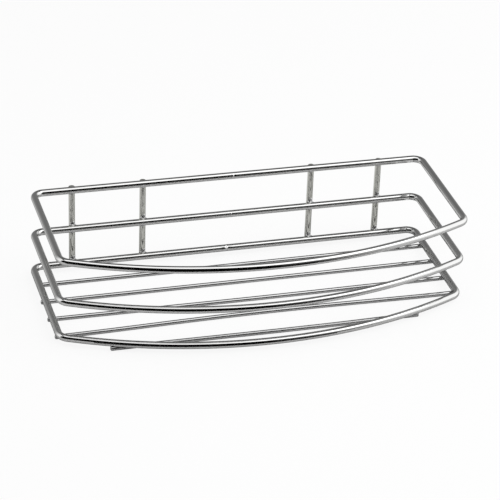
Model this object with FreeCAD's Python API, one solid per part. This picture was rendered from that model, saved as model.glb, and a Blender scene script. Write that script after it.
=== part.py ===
import FreeCAD, Part
import math
import os

from FreeCAD import Vector

# Chrome wire wall shelf, in millimetres. X runs along the back rails, +Y points to the wall, +Z is up.
# The origin is on the surface the shelf stands on, under the middle of its bounding box.

# Wire stock
RING_WIRE_D = 5.0
UPRIGHT_D = 4.5
FLOOR_WIRE_D = 3.2

# Ring outline, measured on the wire's axis except for the width
SHELF_WIDTH = 290.0        # over the outsides of the two side wires
SIDE_DEPTH = 94.0          # back rail to the corner where side and bow would meet
BOW_RISE = 33.0            # how far the front wire bows out past those corners
REAR_BEND_R = 7.0
FRONT_BEND_R = 8.5

# Ring heights above the bottom ring
MIDDLE_RING_LIFT = 28.0
TOP_RING_LIFT = 59.0

# Uprights stand in two pairs behind the back rails, level with the axes of the lowest and highest rail
UPRIGHT_INSET = 32.0       # outside of the shelf to the outer upright of a pair
PAIR_SPACING = 51.0        # between the two uprights of a pair

# Floor wires lie under the bottom ring, evenly spaced between the first and the last
FLOOR_WIRE_COUNT = 5
FLOOR_REAR_INSET = 18.7    # back rail to the first floor wire
FLOOR_FRONT_INSET = 17.9   # last floor wire to the foremost point of the bow
FLOOR_OVERHANG = 2.5       # floor wire end past the axis of the ring wire above it

# Welds and wire ends
WELD_SET_DOWN = 0.35       # how far two crossing wires are pressed into each other
BUTT_BEAD_LENGTH = 1.2     # bead where the two ends of a ring's wire are welded, along the wire
BUTT_BEAD_RISE = 0.15      # height of that bead over the wire
END_CHAMFER = 0.3          # broken edge of a cut wire end

# Each bend is lofted through this many equal steps
REAR_BEND_STEPS = 4
FRONT_BEND_STEPS = 3

# Worked out from the sizes above
RING_R = RING_WIRE_D / 2
HALF_WIDTH = SHELF_WIDTH / 2 - RING_R
RING_DEPTH = SIDE_DEPTH + BOW_RISE
BOW_R = (HALF_WIDTH ** 2 + BOW_RISE ** 2) / (2 * BOW_RISE)
UPRIGHT_STAND_OFF = (RING_WIRE_D + UPRIGHT_D) / 2 - WELD_SET_DOWN
FLOOR_DROP = (RING_WIRE_D + FLOOR_WIRE_D) / 2 - WELD_SET_DOWN
FLOOR_PITCH = (RING_DEPTH - FLOOR_REAR_INSET - FLOOR_FRONT_INSET) / (FLOOR_WIRE_COUNT - 1)
REACH_FRONT = RING_DEPTH + RING_R
REACH_REAR = UPRIGHT_STAND_OFF + UPRIGHT_D / 2
BACK_Y = (REACH_FRONT - REACH_REAR) / 2
BOW_CENTRE_Y = BACK_Y - RING_DEPTH + BOW_R
UPRIGHT_Y = BACK_Y + UPRIGHT_STAND_OFF
FLOOR_Z = FLOOR_WIRE_D / 2
BOTTOM_Z = FLOOR_Z + FLOOR_DROP
OUTER_X = SHELF_WIDTH / 2 - UPRIGHT_INSET
INNER_X = OUTER_X - PAIR_SPACING
RING_HEIGHTS = {
    "bottom_ring": BOTTOM_Z,
    "middle_ring": BOTTOM_Z + MIDDLE_RING_LIFT,
    "top_ring": BOTTOM_Z + TOP_RING_LIFT,
}
UPRIGHT_PLACES = {
    "upright_left_outer": -OUTER_X,
    "upright_left_inner": -INNER_X,
    "upright_right_inner": INNER_X,
    "upright_right_outer": OUTER_X,
}

ORIGIN = Vector(0, 0, 0)
X_AXIS = Vector(1, 0, 0)
Y_AXIS = Vector(0, 1, 0)
Z_AXIS = Vector(0, 0, 1)


def polar(centre, radius, angle):
    """Plan point at this angle, in radians from +X, on a circle."""
    return centre + Vector(radius * math.cos(angle), radius * math.sin(angle), 0)


def section(point, heading, radius):
    """Round section of the wire at a plan point where it runs along heading, with its seam on top."""
    circle = Part.makeCircle(radius)
    circle.rotate(ORIGIN, Y_AXIS, -90)
    circle.rotate(ORIGIN, Z_AXIS, math.degrees(heading))
    circle.translate(point)
    return Part.Wire(circle)


def bend(centre, radius, start_angle, turn, steps):
    """Sections along a clockwise bend of the ring's wire."""
    sections = []
    for i in range(steps + 1):
        angle = start_angle - turn * i / steps
        sections.append(section(polar(centre, radius, angle), angle - math.pi / 2, RING_R))
    return sections


def butt_bead():
    """Sections of the low bead in the middle of the back rail, where the ring's wire is closed."""
    half = BUTT_BEAD_LENGTH / 2
    profile = [(-half, RING_R), (0, RING_R + BUTT_BEAD_RISE), (half, RING_R)]
    return [section(Vector(x, BACK_Y, 0), 0, radius) for x, radius in profile]


def ring():
    """One bent wire: bow, front bends, sides, rear bends and back rail, on the plane z = 0."""
    bow_centre = Vector(0, BOW_CENTRE_Y, 0)
    front_x = HALF_WIDTH - FRONT_BEND_R
    front_y = BOW_CENTRE_Y - math.sqrt((BOW_R - FRONT_BEND_R) ** 2 - front_x ** 2)
    front_turn = math.atan2(BOW_CENTRE_Y - front_y, front_x)
    rear_x = HALF_WIDTH - REAR_BEND_R
    rear_y = BACK_Y - REAR_BEND_R
    half_turn = math.pi
    quarter = math.pi / 2

    left_front = Vector(-front_x, front_y, 0)
    left_rear = Vector(-rear_x, rear_y, 0)
    right_rear = Vector(rear_x, rear_y, 0)
    right_front = Vector(front_x, front_y, 0)
    sections = bend(left_front, FRONT_BEND_R, half_turn + front_turn, front_turn, FRONT_BEND_STEPS)
    sections += bend(left_rear, REAR_BEND_R, half_turn, quarter, REAR_BEND_STEPS)
    sections += butt_bead()
    sections += bend(right_rear, REAR_BEND_R, quarter, quarter, REAR_BEND_STEPS)
    sections += bend(right_front, FRONT_BEND_R, 0, front_turn, FRONT_BEND_STEPS)
    back_and_sides = Part.makeLoft(sections, False, True)

    bow_start = section(polar(bow_centre, BOW_R, -front_turn), -front_turn - quarter, RING_R)
    bow_section = Part.Wire(bow_start.toNurbs().Edges)
    bow = bow_section.revolve(bow_centre, -Z_AXIS, math.degrees(half_turn - 2 * front_turn))
    skin = Part.makeShell(back_and_sides.Faces + bow.Faces)
    skin.sewShape()
    return Part.makeSolid(skin)


def cut_wire(start, direction, length, diameter):
    """Straight round wire with the edges of its two cut ends broken."""
    wire = Part.makeCylinder(diameter / 2, length, start, direction)
    rims = [edge for edge in wire.Edges if isinstance(edge.Curve, Part.Circle)]
    return wire.makeChamfer(END_CHAMFER, rims)


def build_rings():
    rings = {}
    for name, height in RING_HEIGHTS.items():
        rings[name] = ring()
        rings[name].translate(Vector(0, 0, height))
    return rings


def build_uprights(rings):
    """The four uprights, with a seat where each is pressed against and welded to the three back rails."""
    uprights = {}
    for name, x in UPRIGHT_PLACES.items():
        wire = cut_wire(Vector(x, UPRIGHT_Y, BOTTOM_Z), Z_AXIS, TOP_RING_LIFT, UPRIGHT_D)
        uprights[name] = wire.cut(list(rings.values())).Solids[0]
    return uprights


def build_floor_wires(bottom_ring):
    """The floor wires, rear to front, with a seat where each is pressed against the bottom ring."""
    floor_wires = {}
    for i in range(FLOOR_WIRE_COUNT):
        y = BACK_Y - FLOOR_REAR_INSET - i * FLOOR_PITCH
        bow_x = math.sqrt(BOW_R ** 2 - (BOW_CENTRE_Y - y) ** 2)
        half_length = min(HALF_WIDTH, bow_x) + FLOOR_OVERHANG
        wire = cut_wire(Vector(-half_length, y, FLOOR_Z), X_AXIS, 2 * half_length, FLOOR_WIRE_D)
        floor_wires[f"floor_wire_{i + 1}"] = wire.cut(bottom_ring).Solids[0]
    return floor_wires


def main():
    rings = build_rings()
    nodes = {**rings, **build_uprights(rings), **build_floor_wires(rings["bottom_ring"])}
    os.makedirs("parts", exist_ok=True)
    for name, shape in nodes.items():
        shape.exportStep(f"parts/{name}.step")
        print(name, "valid", shape.isValid(), "volume", round(shape.Volume, 1))


main()
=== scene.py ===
import math

import bpy
from mathutils import Matrix, Vector


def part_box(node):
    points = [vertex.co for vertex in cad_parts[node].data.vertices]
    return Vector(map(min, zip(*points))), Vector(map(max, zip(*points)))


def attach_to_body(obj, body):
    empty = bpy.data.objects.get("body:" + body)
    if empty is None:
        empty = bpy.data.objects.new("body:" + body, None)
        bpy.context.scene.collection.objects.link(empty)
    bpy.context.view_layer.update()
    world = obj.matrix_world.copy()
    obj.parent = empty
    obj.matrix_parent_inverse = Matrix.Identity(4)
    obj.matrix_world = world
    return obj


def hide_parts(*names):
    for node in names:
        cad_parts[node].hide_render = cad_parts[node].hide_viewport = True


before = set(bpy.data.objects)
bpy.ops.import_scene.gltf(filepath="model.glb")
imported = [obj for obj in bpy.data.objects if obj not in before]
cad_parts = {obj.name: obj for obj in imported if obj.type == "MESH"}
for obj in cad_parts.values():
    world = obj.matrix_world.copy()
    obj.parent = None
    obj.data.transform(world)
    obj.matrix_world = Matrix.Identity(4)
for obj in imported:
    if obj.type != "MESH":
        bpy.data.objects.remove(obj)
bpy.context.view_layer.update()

# Wire stock and bends, as in the construction model
RING_R = 0.0025
UPRIGHT_R = 0.00225
FLOOR_R = 0.0016
REAR_BEND_R = 0.007
FRONT_BEND_R = 0.0085
BOW_RISE = 0.033
BEAD_RISE = 0.00015

# Rounded edges of the wire ends
UPRIGHT_END_ROUNDING = 0.0001
FLOOR_END_ROUNDING = 0.0009

# Fineness of the meshes
WIRE_SIDES = 64
BEND_STEP = math.radians(3)
BOW_STEP = math.radians(1)
END_FACE_SHARES = (0.05, 0.5, 0.93, 1.0)
END_STEPS = 8
FLOOR_WIRE_STEPS = 48
FLOOR_SLOPE_STEP = 0.0005
JOG_STEPS = 24
WELD_STEPS = 48
WELD_PROFILE_STEPS = 12
REACH_HALVINGS = 40
TINY = 1e-6

# Butt weld of each ring: its place along the back rail, its half length and how far one end stands proud
BUTT_JOGS = {
    "top_ring": (0.0013, 0.0006, 0.0001),
    "middle_ring": (0.0012, 0.0005, 0.00005),
    "bottom_ring": (-0.0013, 0.0013, 0.00032),
}
JOG_FACING = Vector((0, -0.9, 0.43))
JOG_REACH = 3.5

# Welds of crossing wires: the gap that weld metal fills, how far it creeps along the wires, and its profile
UPRIGHT_WELD_GAP = 0.0014
UPRIGHT_WELD_CREEP = 1.1
FLOOR_WELD_GAP = 0.0006
FLOOR_WELD_CREEP = 0.0
WELD_LIP = 0.0004
WELD_ROOT = 0.2
WELD_SHOULDER = 0.6
WELD_SHOULDER_CREEP = 0.4
WELD_PULL = 0.25
WELD_WAVE_LARGE, WELD_WAVE_SMALL = 0.12, 0.08
WELD_WAVE_SPREAD = 900
WIRE_FLANK = 0.98

# How far a floor wire bows towards the wall between its welded ends, and where it bows most
FLOOR_WIRE_BOW = {
    "floor_wire_3": (-0.00075, 0.0),
    "floor_wire_4": (0.0027, 0.0),
    "floor_wire_5": (-0.00095, 0.035),
}
FLOOR_BOW_INSET = 0.005

# How far the left and right end of a floor wire are welded off their place, towards the wall
FLOOR_WIRE_SHIFT = {
    "floor_wire_1": (-0.00045, 0.0),
    "floor_wire_2": (-0.0005, 0.0),
    "floor_wire_3": (-0.001, -0.0013),
    "floor_wire_4": (-0.0009, 0.0003),
    "floor_wire_5": (0.0, 0.0003),
}

# How much of a floor wire's left and right end is cut off, less than nothing for a longer end
FLOOR_WIRE_TRIM = {
    "floor_wire_1": (0.0013, 0),
    "floor_wire_4": (0.0005, 0),
    "floor_wire_5": (-0.0023, 0.0006),
}

# How far the uprights stand to the right at their two ends, and rise over the axis of the top rail
UPRIGHT_SHIFT_LOW = -0.00025
UPRIGHT_SHIFT_HIGH = -0.0011
UPRIGHT_TOP_RISE = {
    "upright_left_outer": 0.0004,
    "upright_left_inner": 0.0002,
    "upright_right_inner": 0.0001,
    "upright_right_outer": -0.0002,
}

# Camera, found from the photograph
CAMERA_PLACE = Vector((-0.40951, -1.3026, 0.82935))
CAMERA_YAW = math.radians(17.369)
CAMERA_PITCH = math.radians(30.085)
CAMERA_ROLL = math.radians(3.141)
CAMERA_LENS_MM = 164.16
CAMERA_SENSOR_MM = 36.0

# Plating
EDGE_TINT = 0.5
CLOUD_SCALE = 55.0
STREAK_SCALE = (70.0, 5.0, 1.0)
STREAK_DEPTH = 0.00005
RIPPLE_SCALE = 900.0
WIRE_RIPPLE = 6e-7
WELD_RIPPLE = 0.00002
NOISE_LOW, NOISE_HIGH = 0.3, 0.7

# Studio. A wall has a height and a radiance at each turn from the front, in degrees.
FLOOR_WHITE_SHARE = 0.88
FLOOR_GREYS = ((0, 0.88), (1, 0.9))
FLOOR_HALF = 6.0
SOFTBOX_PLACE = Vector((0.405, -0.405, 1.5))
SOFTBOX_SIZE = (2.9, 1.4)
SOFTBOX_TURN = math.radians(-22)
SOFTBOX_RADIANCE = 2.0
SOFTBOX_FALL = ((0.4, 0.78), (0.5, 0.96), (0.6, 1.1))
CLOTH_LIFT = 0.001
CLOTH_GREYS = ((0, 0.003), (1, 0.005))
CLOTH_OUTLINE = ((0.72, -1.7), (0.24, -0.4), (0.17, -0.13), (0.07, -0.145), (-0.08, -0.14), (-0.23, -0.22),
                 (-0.5, -0.37), (-1.4, -0.85), (-1.4, -1.7))
# Pale grey mat under the shelf, seen only in reflections: painted shade for the darker, shaded floor near
# the wires
SHADE_MAT_LIFT = 0.0005
SHADE_MAT_GREYS = ((0, 0.72), (1, 0.76))
SHADE_MAT_CORNERS = ((-0.35, -0.75), (0.75, -0.75), (0.75, 0.09), (-0.35, 0.09))
FENCE_GAP = 0.015
FENCE_HEIGHT = 0.0053
FENCE_ENDS = (-0.128, 0.05)
FENCE_STEPS = 40
FLAG_LINE = ((0.72, -1.7), (-1.4, -1.7), (-1.95, -0.35))
FLAG_HEIGHT = 2.8
WALL_R = 1.6
WALL_COLUMNS = 48
WALL_ROWS = 16
WALL_SLANT = 0.55
RIGHT_WALL_TURN = (15, 142)
RIGHT_WALL_TOP = ((32, 1.45), (55, 2.25))
RIGHT_WALL_FRONT = ((36, 0.035), (45, 0.34), (52, 0.84), (64, 1.46), (73, 1.68))
RIGHT_WALL_REAR = ((116, 1.0), (142, 0.22))
LEFT_WALL_TURN = (-152, -86)
LEFT_WALL_TOP = ((-152, 2.2), (-86, 2.2))
LEFT_WALL_REAR = ((-152, 0.36), (-128, 0.8), (-108, 1.4))
ROOM_GREYS = ((0.0, 0.365), (0.3, 0.335), (0.5, 0.285), (0.6, 0.225), (0.75, 0.145))

RINGS = ("top_ring", "middle_ring", "bottom_ring")
UPRIGHTS = ("upright_left_outer", "upright_left_inner", "upright_right_inner", "upright_right_outer")
FLOOR_WIRES = tuple(f"floor_wire_{i}" for i in range(1, 6))

X_AXIS = Vector((1, 0, 0))
Y_AXIS = Vector((0, 1, 0))
Z_AXIS = Vector((0, 0, 1))


def new_piece(name, vertices, faces, material):
    """Smooth-shaded mesh object in the scene."""
    mesh = bpy.data.meshes.new(name)
    mesh.from_pydata(vertices, [], faces)
    mesh.validate()
    mesh.polygons.foreach_set("use_smooth", [True] * len(mesh.polygons))
    mesh.materials.append(material)
    piece = bpy.data.objects.new(name, mesh)
    bpy.context.scene.collection.objects.link(piece)
    return piece


def wire_uv(piece, lengths, sides):
    """Maps the wire so that U runs along it in metres and V once around it."""
    layer = piece.data.uv_layers.new(name="wire")
    for polygon in piece.data.polygons:
        corners = [piece.data.loops[i].vertex_index for i in polygon.loop_indices]
        around = [(v % sides) / sides for v in corners]
        if max(around) - min(around) > 0.5:
            around = [a + 1 if a < 0.5 else a for a in around]
        for loop, vertex, a in zip(polygon.loop_indices, corners, around):
            station = min(vertex // sides, len(lengths) - 1)
            layer.data[loop].uv = (lengths[station], a)


def sweep(name, stations, material, closed):
    """Round tube through stations of (centre, side, up, radius). An open one is closed with flat caps."""
    vertices = []
    for centre, side, up, radius in stations:
        for k in range(WIRE_SIDES):
            a = 2 * math.pi * k / WIRE_SIDES - math.pi / 2
            vertices.append(centre + (side * math.cos(a) + up * math.sin(a)) * radius)
    count = len(stations)
    faces = []
    for i in range(count if closed else count - 1):
        for k in range(WIRE_SIDES):
            near, far = i * WIRE_SIDES, (i + 1) % count * WIRE_SIDES
            n = (k + 1) % WIRE_SIDES
            faces.append((near + k, far + k, far + n, near + n))
    if not closed:
        first = range(WIRE_SIDES)
        last = range((count - 1) * WIRE_SIDES, count * WIRE_SIDES)
        faces.append(tuple(first))
        faces.append(tuple(reversed(last)))
    piece = new_piece(name, vertices, faces, material)
    lengths = [0.0]
    for (a, *_), (b, *_) in zip(stations, stations[1:]):
        lengths.append(lengths[-1] + (b - a).length)
    wire_uv(piece, lengths, WIRE_SIDES)
    return piece


def plan_station(x, y, z, heading, radius):
    """Section of a wire that lies level and runs along heading, an angle from +X in plan."""
    side = Vector((math.sin(heading), -math.cos(heading), 0))
    return Vector((x, y, z)), side, Z_AXIS, radius


def arc_stations(centre, radius, start, turn, step, z):
    """Sections along a clockwise bend that starts at this angle from its centre."""
    count = max(2, math.ceil(turn / step))
    stations = []
    for i in range(count + 1):
        a = start - turn * i / count
        x = centre[0] + radius * math.cos(a)
        y = centre[1] + radius * math.sin(a)
        stations.append(plan_station(x, y, z, a - math.pi / 2, RING_R))
    return stations


def jog_stations(y, z, middle_x, half_length, jog):
    """Sections across the butt weld of a ring, where one end of the wire stands a little proud."""
    stations = []
    for i in range(-JOG_STEPS, JOG_STEPS + 1):
        u = JOG_REACH * i / JOG_STEPS
        centre, side, up, radius = plan_station(middle_x + half_length * u, y, z, 0, RING_R)
        stations.append((centre - JOG_FACING * jog * u * math.exp((1 - u * u) / 2), side, up, radius))
    return stations


def ring_outline(node):
    """Driving places of a ring: half width, back, bow centre and radius, and height of the wire's axis."""
    low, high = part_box(node)
    half_width = (high.x - low.x) / 2 - RING_R
    back_y = high.y - RING_R - BEAD_RISE
    front_y = low.y + RING_R
    bow_r = (half_width ** 2 + BOW_RISE ** 2) / (2 * BOW_RISE)
    return half_width, back_y, front_y + bow_r, bow_r, (low.z + high.z) / 2


def build_ring(node, material):
    """One bent wire with a straight back rail, straight sides and a bowed front, smooth in every bend."""
    half_width, back_y, bow_y, bow_r, z = ring_outline(node)
    front_x = half_width - FRONT_BEND_R
    front_y = bow_y - math.sqrt((bow_r - FRONT_BEND_R) ** 2 - front_x ** 2)
    front_turn = math.atan2(bow_y - front_y, front_x)
    rear_x = half_width - REAR_BEND_R
    rear_y = back_y - REAR_BEND_R
    half_turn = math.pi
    quarter = math.pi / 2
    front_start = half_turn + front_turn

    stations = arc_stations((-front_x, front_y), FRONT_BEND_R, front_start, front_turn, BEND_STEP, z)
    stations += arc_stations((-rear_x, rear_y), REAR_BEND_R, half_turn, quarter, BEND_STEP, z)
    stations += jog_stations(back_y, z, *BUTT_JOGS[node])
    stations += arc_stations((rear_x, rear_y), REAR_BEND_R, quarter, quarter, BEND_STEP, z)
    stations += arc_stations((front_x, front_y), FRONT_BEND_R, 0, front_turn, BEND_STEP, z)
    stations += arc_stations((0, bow_y), bow_r, -front_turn, half_turn - 2 * front_turn, BOW_STEP, z)[1:-1]
    return sweep(node + "_wire", stations, material, closed=True)


def cut_end(place, inwards, side, up, radius, rounding):
    """Sections of a wire end from its middle outwards: flat face, then a rounded edge."""
    inset = radius - rounding
    stations = [(place, side, up, inset * share) for share in END_FACE_SHARES]
    for i in range(1, END_STEPS + 1):
        a = math.pi / 2 * i / END_STEPS
        centre = place + inwards * rounding * (1 - math.cos(a))
        stations.append((centre, side, up, inset + rounding * math.sin(a)))
    return stations


def upright_place(node, z):
    """Point on an upright's axis at this height."""
    low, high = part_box(node)
    share = (z - low.z) / (high.z - low.z)
    shift = UPRIGHT_SHIFT_LOW + (UPRIGHT_SHIFT_HIGH - UPRIGHT_SHIFT_LOW) * share
    return Vector(((low.x + high.x) / 2 + shift, (low.y + high.y) / 2, z))


def build_upright(node, material):
    """Straight wire behind the back rails, from the axis of the lowest to about that of the highest."""
    low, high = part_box(node)
    bottom = upright_place(node, low.z)
    top = upright_place(node, high.z + UPRIGHT_TOP_RISE[node])
    stations = cut_end(bottom, Z_AXIS, -X_AXIS, Y_AXIS, UPRIGHT_R, UPRIGHT_END_ROUNDING)
    stations += reversed(cut_end(top, -Z_AXIS, -X_AXIS, Y_AXIS, UPRIGHT_R, UPRIGHT_END_ROUNDING))
    return sweep(node + "_wire", stations, material, closed=False)


def floor_wire_place(node, x):
    """Point on a floor wire's axis at this x."""
    low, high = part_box(node)
    left, right = FLOOR_WIRE_SHIFT[node]
    shift = left + (right - left) * (x - low.x) / (high.x - low.x)
    bow, peak = FLOOR_WIRE_BOW.get(node, (0.0, 0.0))
    reach = high.x - FLOOR_BOW_INSET + (peak if x < peak else -peak)
    free = max(0.0, 1 - ((x - peak) / reach) ** 2)
    return Vector((x, (low.y + high.y) / 2 + shift + bow * free ** 2, (low.z + high.z) / 2))


def build_floor_wire(node, material):
    """Thin wire under the bottom ring, straight or slightly bowed between its welded ends."""
    low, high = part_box(node)
    trim_left, trim_right = FLOOR_WIRE_TRIM.get(node, (0, 0))
    left = floor_wire_place(node, low.x + trim_left)
    right = floor_wire_place(node, high.x - trim_right)
    stations = cut_end(left, X_AXIS, -Y_AXIS, Z_AXIS, FLOOR_R, FLOOR_END_ROUNDING)
    reach = high.x - FLOOR_BOW_INSET
    for i in range(FLOOR_WIRE_STEPS + 1):
        x = reach * (2 * i / FLOOR_WIRE_STEPS - 1)
        before = floor_wire_place(node, x - FLOOR_SLOPE_STEP)
        step = floor_wire_place(node, x + FLOOR_SLOPE_STEP) - before
        stations.append(plan_station(*floor_wire_place(node, x), math.atan2(step.y, step.x), FLOOR_R))
    stations += reversed(cut_end(right, -X_AXIS, -Y_AXIS, Z_AXIS, FLOOR_R, FLOOR_END_ROUNDING))
    return sweep(node + "_wire", stations, material, closed=False)


def weld_reach(e_a, e_b, radius_a, radius_b, distance, gap):
    """How far from the crossing, along a direction, the two wires' surfaces are this gap apart."""
    low, high = 0.0, min(radius_a / max(abs(e_a), TINY), radius_b / max(abs(e_b), TINY))
    for _ in range(REACH_HALVINGS):
        reach = (low + high) / 2
        between = distance - wire_rise(reach * e_a, radius_a) - wire_rise(reach * e_b, radius_b)
        low, high = (reach, high) if between < gap else (low, reach)
    return low


def wire_rise(offset, radius):
    """Height of a wire's surface over its axis, this far to the side of it."""
    return math.sqrt(max(radius ** 2 - offset ** 2, 0.0))


def wire_point(place, along, out, across, radius, reach):
    """Point on a wire's surface, on the side that out points to, up to this far from the crossing."""
    offset = along.dot(across)
    reach = min(reach, WIRE_FLANK * radius / max(abs(offset), TINY))
    return place + along * reach + out * wire_rise(reach * offset, radius)


def build_weld(name, place_a, axis_a, radius_a, place_b, axis_b, radius_b, room, gap, creep, material):
    """Weld metal round the crossing of two wires, creeping along both and closed inside them.

    Room is how far the second wire goes on past the crossing, against its axis and along it.
    """
    out = (place_b - place_a).normalized()
    distance = (place_b - place_a).length
    across_a, across_b = out.cross(axis_a), out.cross(axis_b)
    vertices = []
    size = WELD_PROFILE_STEPS + 3
    for i in range(WELD_STEPS):
        angle = 2 * math.pi * i / WELD_STEPS
        along = axis_a * math.cos(angle) + across_a * math.sin(angle)
        wobble = 1 + WELD_WAVE_LARGE * math.sin(3 * angle + len(name))
        wobble += WELD_WAVE_SMALL * math.sin(5 * angle + place_a.x * WELD_WAVE_SPREAD)
        e_a, e_b = along.dot(across_a), along.dot(across_b)
        reach = weld_reach(e_a, e_b, radius_a, radius_b, distance, gap * wobble)
        share_b = along.dot(axis_b)
        limit = (room[1] if share_b > 0 else room[0]) / max(abs(share_b), TINY)
        creep_a, creep_b = creep * along.dot(axis_a) ** 2, creep * share_b ** 2
        wire_a = (place_a, along, out, across_a, radius_a)
        wire_b = (place_b, along, -out, across_b, radius_b)
        start = wire_point(*wire_a, reach * (1 + creep_a))
        end = wire_point(*wire_b, min(limit, reach * (1 + creep_b)))
        leave_reach = reach * (WELD_SHOULDER + WELD_SHOULDER_CREEP * creep_b)
        arrive_share = WELD_SHOULDER + WELD_SHOULDER_CREEP * creep_a + WELD_SHOULDER_CREEP * creep_b
        leave = wire_point(*wire_a, leave_reach) + along * min(limit, reach) * WELD_PULL * creep_b
        arrive = wire_point(*wire_b, min(limit, reach * arrive_share))
        vertices.append(start - out * radius_a * WELD_ROOT - along * reach * WELD_ROOT)
        for k in range(WELD_PROFILE_STEPS + 1):
            t = k / WELD_PROFILE_STEPS
            s = 1 - t
            vertices.append(start * s ** 3 + leave * 3 * s * s * t + arrive * 3 * s * t * t + end * t ** 3)
        vertices.append(end + out * radius_b * WELD_ROOT - along * reach * WELD_ROOT)
    faces = []
    for i in range(WELD_STEPS):
        near, far = i * size, (i + 1) % WELD_STEPS * size
        for k in range(size):
            n = (k + 1) % size
            faces.append((near + k, far + k, far + n, near + n))
    return new_piece(name, vertices, faces, material)


def add_node(tree, kind, **inputs):
    """New shader node with its sockets set or linked."""
    made = tree.nodes.new(kind)
    for key, value in inputs.items():
        socket = made.inputs[key.replace("_", " ")]
        if isinstance(value, bpy.types.NodeSocket):
            tree.links.new(value, socket)
        else:
            socket.default_value = value
    return made


def ramp(tree, factor, stops):
    """Colour ramp through stops of (place, level), where a level is a grey or a colour."""
    made = add_node(tree, "ShaderNodeValToRGB", Fac=factor)
    elements = made.color_ramp.elements
    while len(elements) < len(stops):
        elements.new(0.5)
    for element, (place, level) in zip(elements, stops):
        element.position = place
        element.color = (*level, 1) if isinstance(level, tuple) else (level, level, level, 1)
    return made.outputs["Color"]


def chrome(name, dark, bright, rough_low, rough_high, streak, ripple_depth):
    """Bright plating: faint cloudiness in colour, drawing streaks along the wire and a fine ripple."""
    material = bpy.data.materials.new(name)
    material.use_nodes = True
    tree = material.node_tree
    surface = tree.nodes["Principled BSDF"]
    place = tree.nodes.new("ShaderNodeTexCoord")
    solid = place.outputs["Object"]
    cloud = add_node(tree, "ShaderNodeTexNoise", Vector=solid, Scale=CLOUD_SCALE, Detail=3.0)
    along = add_node(tree, "ShaderNodeMapping", Vector=place.outputs["UV"])
    along.inputs["Scale"].default_value = STREAK_SCALE
    lines = add_node(tree, "ShaderNodeTexNoise", Vector=along.outputs["Vector"], Scale=1.0, Detail=4.0)
    ripple = add_node(tree, "ShaderNodeTexNoise", Vector=solid, Scale=RIPPLE_SCALE, Detail=2.0)
    colour = ramp(tree, cloud.outputs["Fac"], ((NOISE_LOW, dark), (NOISE_HIGH, bright)))
    tree.links.new(colour, surface.inputs["Base Color"])
    rough = add_node(tree, "ShaderNodeMapRange", Value=lines.outputs["Fac"])
    rough.inputs["From Min"].default_value = NOISE_LOW
    rough.inputs["From Max"].default_value = NOISE_HIGH
    rough.inputs["To Min"].default_value = rough_low
    rough.inputs["To Max"].default_value = rough_high
    tree.links.new(rough.outputs["Result"], surface.inputs["Roughness"])
    long_bump = add_node(tree, "ShaderNodeBump", Height=lines.outputs["Fac"], Strength=streak)
    long_bump.inputs["Distance"].default_value = STREAK_DEPTH
    fine_bump = add_node(tree, "ShaderNodeBump", Height=ripple.outputs["Fac"], Strength=1.0)
    fine_bump.inputs["Distance"].default_value = ripple_depth
    tree.links.new(long_bump.outputs["Normal"], fine_bump.inputs["Normal"])
    tree.links.new(fine_bump.outputs["Normal"], surface.inputs["Normal"])
    surface.inputs["Metallic"].default_value = 1.0
    surface.inputs["Specular Tint"].default_value = (EDGE_TINT, EDGE_TINT, EDGE_TINT, 1)
    return material


def floor_material():
    """Pale floor, shown white to the camera and in reflections, that keeps the shadow on it."""
    material = bpy.data.materials.new("pale_floor")
    material.use_nodes = True
    tree = material.node_tree
    tree.nodes.remove(tree.nodes["Principled BSDF"])
    place = tree.nodes.new("ShaderNodeTexCoord")
    cloud = add_node(tree, "ShaderNodeTexNoise", Vector=place.outputs["Object"], Scale=3.0)
    paper = add_node(tree, "ShaderNodeBsdfDiffuse", Color=ramp(tree, cloud.outputs["Fac"], FLOOR_GREYS))
    white = add_node(tree, "ShaderNodeEmission", Strength=1.0)
    light_path = tree.nodes.new("ShaderNodeLightPath")
    total = light_path.outputs["Is Camera Ray"]
    for kind in ("Is Glossy Ray", "Is Transmission Ray"):
        added = tree.nodes.new("ShaderNodeMath")
        added.operation = "MAXIMUM"
        tree.links.new(total, added.inputs[0])
        tree.links.new(light_path.outputs[kind], added.inputs[1])
        total = added.outputs[0]
    share = tree.nodes.new("ShaderNodeMath")
    share.operation = "MULTIPLY"
    share.inputs[1].default_value = FLOOR_WHITE_SHARE
    tree.links.new(total, share.inputs[0])
    mix = add_node(tree, "ShaderNodeMixShader", Fac=share.outputs[0])
    tree.links.new(paper.outputs["BSDF"], mix.inputs[1])
    tree.links.new(white.outputs["Emission"], mix.inputs[2])
    tree.links.new(mix.outputs["Shader"], tree.nodes["Material Output"].inputs["Surface"])
    return material


def make_floor():
    h = FLOOR_HALF
    corners = [(-h, -h, 0), (h, -h, 0), (h, h, 0), (-h, h, 0)]
    floor = new_piece("floor", corners, [(0, 1, 2, 3)], floor_material())


def add_strip(corners, faces, line, height):
    """Upright strip along a line on the floor."""
    for (x0, y0), (x1, y1) in zip(line, line[1:]):
        first = len(corners)
        corners += [(x0, y0, 0), (x1, y1, 0), (x1, y1, height), (x0, y0, height)]
        faces.append(tuple(range(first, first + 4)))


def fence_line():
    """Line on the floor close in front of the bow of the bottom ring."""
    _, _, bow_y, bow_r, _ = ring_outline("bottom_ring")
    line = []
    for i in range(FENCE_STEPS + 1):
        x = FENCE_ENDS[0] + (FENCE_ENDS[1] - FENCE_ENDS[0]) * i / FENCE_STEPS
        line.append((x, bow_y - math.sqrt((bow_r + FENCE_GAP) ** 2 - x ** 2)))
    return line


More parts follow.
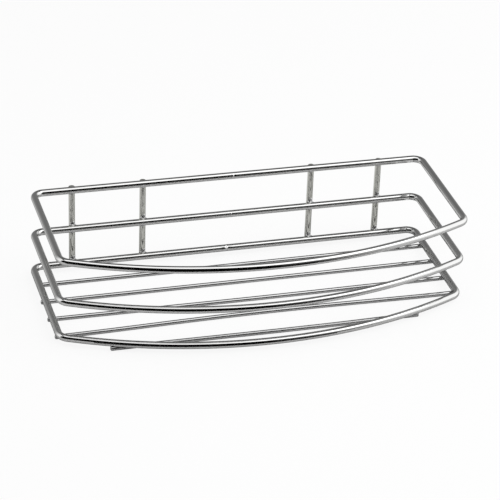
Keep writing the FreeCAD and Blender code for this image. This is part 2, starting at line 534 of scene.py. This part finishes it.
def make_shade_mat():
    """Pale grey mat under the shelf, seen only in the wires: painted shade that stands in for the floor's
    shade under and around the shelf in their reflections.
    """
    material = bpy.data.materials.new("painted_shade_mat")
    material.use_nodes = True
    tree = material.node_tree
    tree.nodes.remove(tree.nodes["Principled BSDF"])
    place = tree.nodes.new("ShaderNodeTexCoord")
    cloud = add_node(tree, "ShaderNodeTexNoise", Vector=place.outputs["Object"], Scale=20.0)
    shade_diffuse = add_node(tree, "ShaderNodeBsdfDiffuse", Color=ramp(tree, cloud.outputs["Fac"], SHADE_MAT_GREYS))
    tree.links.new(shade_diffuse.outputs["BSDF"], tree.nodes["Material Output"].inputs["Surface"])
    shade_mat = new_piece("shade_mat", [(x, y, SHADE_MAT_LIFT) for x, y in SHADE_MAT_CORNERS], [(0, 1, 2, 3)], material)
    shade_mat.visible_camera = False
    shade_mat.visible_shadow = False
    shade_mat.visible_diffuse = False


def make_flag():
    """Black cloth in front of the shelf, also as a tall flag and a low fence: the wires' black band."""
    material = bpy.data.materials.new("black_cloth")
    material.use_nodes = True
    tree = material.node_tree
    surface = tree.nodes["Principled BSDF"]
    place = tree.nodes.new("ShaderNodeTexCoord")
    nap = add_node(tree, "ShaderNodeTexNoise", Vector=place.outputs["Object"], Scale=40.0)
    tree.links.new(ramp(tree, nap.outputs["Fac"], CLOTH_GREYS), surface.inputs["Base Color"])
    surface.inputs["Roughness"].default_value = 1.0
    surface.inputs["Specular IOR Level"].default_value = 0.0
    corners = [(x, y, CLOTH_LIFT) for x, y in CLOTH_OUTLINE]
    faces = [tuple(range(len(corners)))]
    add_strip(corners, faces, FLAG_LINE, FLAG_HEIGHT)
    add_strip(corners, faces, fence_line(), FENCE_HEIGHT)
    flag = new_piece("flag", corners, faces, material)
    flag.visible_camera = False
    flag.visible_shadow = False
    flag.visible_diffuse = False


def level_at(stops, value):
    """Level between stops of (place, level), and that of the end stop beyond them."""
    if value <= stops[0][0]:
        return stops[0][1]
    for (place_a, level_a), (place_b, level_b) in zip(stops, stops[1:]):
        if value <= place_b:
            return level_a + (level_b - level_a) * (value - place_a) / (place_b - place_a)
    return stops[-1][1]


def right_light(turn, lift):
    """Radiance of the right wall, which fades out towards the front, downwards and towards the back."""
    return level_at(RIGHT_WALL_FRONT, turn + WALL_SLANT * lift) * level_at(RIGHT_WALL_REAR, turn)


def left_light(turn, _lift):
    """Radiance of the left wall, which fades out towards the back."""
    return level_at(LEFT_WALL_REAR, turn)


def wall_material():
    """Light of the radiance that is written on the mesh."""
    material = bpy.data.materials.new("bright_wall")
    material.use_nodes = True
    tree = material.node_tree
    tree.nodes.remove(tree.nodes["Principled BSDF"])
    written = tree.nodes.new("ShaderNodeAttribute")
    written.attribute_name = "radiance"
    light = add_node(tree, "ShaderNodeEmission", Strength=written.outputs["Fac"])
    tree.links.new(light.outputs["Emission"], tree.nodes["Material Output"].inputs["Surface"])
    return material


def make_wall(name, turns, tops, light, material):
    """Bright curved wall beside the shelf, between two turns from the front, in degrees."""
    corners, levels, faces = [], [], []
    for i in range(WALL_COLUMNS + 1):
        turn = turns[0] + (turns[1] - turns[0]) * i / WALL_COLUMNS
        a = math.radians(turn)
        for k in range(WALL_ROWS + 1):
            z = level_at(tops, turn) * k / WALL_ROWS
            corners.append((WALL_R * math.sin(a), -WALL_R * math.cos(a), z))
            levels.append(light(turn, math.degrees(math.atan2(z, WALL_R))))
    for i in range(WALL_COLUMNS):
        for k in range(WALL_ROWS):
            near, far = i * (WALL_ROWS + 1) + k, (i + 1) * (WALL_ROWS + 1) + k
            faces.append((near, far, far + 1, near + 1))
    wall = new_piece(name, corners, faces, material)
    wall.data.attributes.new("radiance", "FLOAT", "POINT").data.foreach_set("value", levels)
    wall.visible_camera = False


def make_softbox():
    """Large soft lamp over the shelf, a little weaker towards its left end."""
    data = bpy.data.lights.new("softbox", "AREA")
    data.shape = "ELLIPSE"
    data.size, data.size_y = SOFTBOX_SIZE
    data.energy = SOFTBOX_RADIANCE * math.pi * data.size * data.size_y * math.pi / 4
    data.use_nodes = True
    tree = data.node_tree
    place = tree.nodes.new("ShaderNodeNewGeometry")
    parts = add_node(tree, "ShaderNodeSeparateXYZ", Vector=place.outputs["Parametric"])
    fall = ramp(tree, parts.outputs["X"], SOFTBOX_FALL)
    tree.links.new(fall, tree.nodes["Emission"].inputs["Strength"])
    lamp = bpy.data.objects.new("softbox", data)
    lamp.location = SOFTBOX_PLACE
    lamp.rotation_euler = (0, 0, SOFTBOX_TURN)
    lamp.visible_camera = False
    bpy.context.scene.collection.objects.link(lamp)


def make_world():
    """Grey room, darker higher up."""
    world = bpy.data.worlds.new("grey_room")
    world.use_nodes = True
    tree = world.node_tree
    place = tree.nodes.new("ShaderNodeTexCoord")
    parts = add_node(tree, "ShaderNodeSeparateXYZ", Vector=place.outputs["Generated"])
    grey = ramp(tree, parts.outputs["Z"], ROOM_GREYS)
    tree.links.new(grey, tree.nodes["Background"].inputs["Color"])
    bpy.context.scene.world = world


def make_camera():
    """Camera at the photograph's place, turned by yaw, pitch and roll."""
    flat = math.cos(CAMERA_PITCH)
    forward = Vector((math.sin(CAMERA_YAW) * flat, math.cos(CAMERA_YAW) * flat, -math.sin(CAMERA_PITCH)))
    level = Vector((math.cos(CAMERA_YAW), -math.sin(CAMERA_YAW), 0))
    above = level.cross(forward)
    right = level * math.cos(CAMERA_ROLL) + above * math.sin(CAMERA_ROLL)
    up = above * math.cos(CAMERA_ROLL) - level * math.sin(CAMERA_ROLL)
    data = bpy.data.cameras.new("camera")
    data.lens = CAMERA_LENS_MM
    data.sensor_width = CAMERA_SENSOR_MM
    camera = bpy.data.objects.new("camera", data)
    turn = Matrix((right, up, -forward)).transposed()
    camera.matrix_world = Matrix.Translation(CAMERA_PLACE) @ turn.to_4x4()
    bpy.context.scene.collection.objects.link(camera)
    bpy.context.scene.camera = camera


def attach(piece, slot, *replaced):
    """Makes a piece ride on the shelf, and hides the construction nodes it stands for."""
    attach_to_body(piece, "root")
    if replaced:
        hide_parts(*replaced)


def build_wires():
    ring_chrome = chrome("ring_chrome", dark=(0.55, 0.55, 0.545), bright=(0.575, 0.575, 0.57),
                         rough_low=0.02, rough_high=0.05, streak=0.03, ripple_depth=WIRE_RIPPLE)
    upright_chrome = chrome("upright_chrome", dark=(0.535, 0.535, 0.5), bright=(0.59, 0.59, 0.552),
                            rough_low=0.04, rough_high=0.1, streak=0.25, ripple_depth=WIRE_RIPPLE)
    floor_chrome = chrome("floor_chrome", dark=0.42, bright=0.46,
                          rough_low=0.02, rough_high=0.06, streak=0.02, ripple_depth=WIRE_RIPPLE)
    for name in RINGS:
        attach(build_ring(name, ring_chrome), "ring_wire", name)
    for name in UPRIGHTS:
        attach(build_upright(name, upright_chrome), "upright_wire", name)
    for name in FLOOR_WIRES:
        attach(build_floor_wire(name, floor_chrome), "floor_wire", name)


def build_upright_welds(material):
    for ring_name in RINGS:
        _, back_y, _, _, z = ring_outline(ring_name)
        for upright in UPRIGHTS:
            on_upright = upright_place(upright, z)
            on_rail = Vector((on_upright.x, back_y, z))
            low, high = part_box(upright)
            room = (max(z - low.z, WELD_LIP), max(high.z + UPRIGHT_TOP_RISE[upright] - z, WELD_LIP))
            weld = build_weld(f"weld_{upright}_{ring_name}", on_rail, X_AXIS, RING_R, on_upright, Z_AXIS,
                              UPRIGHT_R, room, UPRIGHT_WELD_GAP, UPRIGHT_WELD_CREEP, material)
            attach(weld, "upright_wire")


def build_floor_welds(material):
    half_width, _, bow_y, bow_r, ring_z = ring_outline("bottom_ring")
    for wire in FLOOR_WIRES:
        low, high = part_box(wire)
        for side, sign, end_x in (("left", -1, low.x), ("right", 1, high.x)):
            end = floor_wire_place(wire, end_x)
            bow_x = math.sqrt(bow_r ** 2 - (bow_y - end.y) ** 2)
            turn = math.asin(bow_x / bow_r) if bow_x < half_width else math.pi / 2
            axis = Vector((math.cos(turn), sign * math.sin(turn), 0))
            on_wire = Vector((sign * min(half_width, bow_x), end.y, end.z))
            on_ring = Vector((on_wire.x, on_wire.y, ring_z))
            trim_left, trim_right = FLOOR_WIRE_TRIM.get(wire, (0, 0))
            room = (on_wire.x - low.x - trim_left, high.x - trim_right - on_wire.x)
            weld = build_weld(f"weld_{wire}_{side}", on_ring, axis, RING_R, on_wire, X_AXIS, FLOOR_R,
                              room, FLOOR_WELD_GAP, FLOOR_WELD_CREEP, material)
            attach(weld, "floor_wire")


def build_welds():
    weld_chrome = chrome("weld_chrome", dark=0.51, bright=0.575,
                         rough_low=0.02, rough_high=0.08, streak=0.0, ripple_depth=WELD_RIPPLE)
    build_upright_welds(weld_chrome)
    build_floor_welds(weld_chrome)


def build_studio():
    make_floor()
    make_shade_mat()
    make_flag()
    light = wall_material()
    make_wall("right_wall", RIGHT_WALL_TURN, RIGHT_WALL_TOP, right_light, light)
    make_wall("left_wall", LEFT_WALL_TURN, LEFT_WALL_TOP, left_light, light)
    make_world()
    make_softbox()
    make_camera()
    bpy.context.scene.view_settings.view_transform = "Standard"


build_wires()
build_welds()
build_studio()
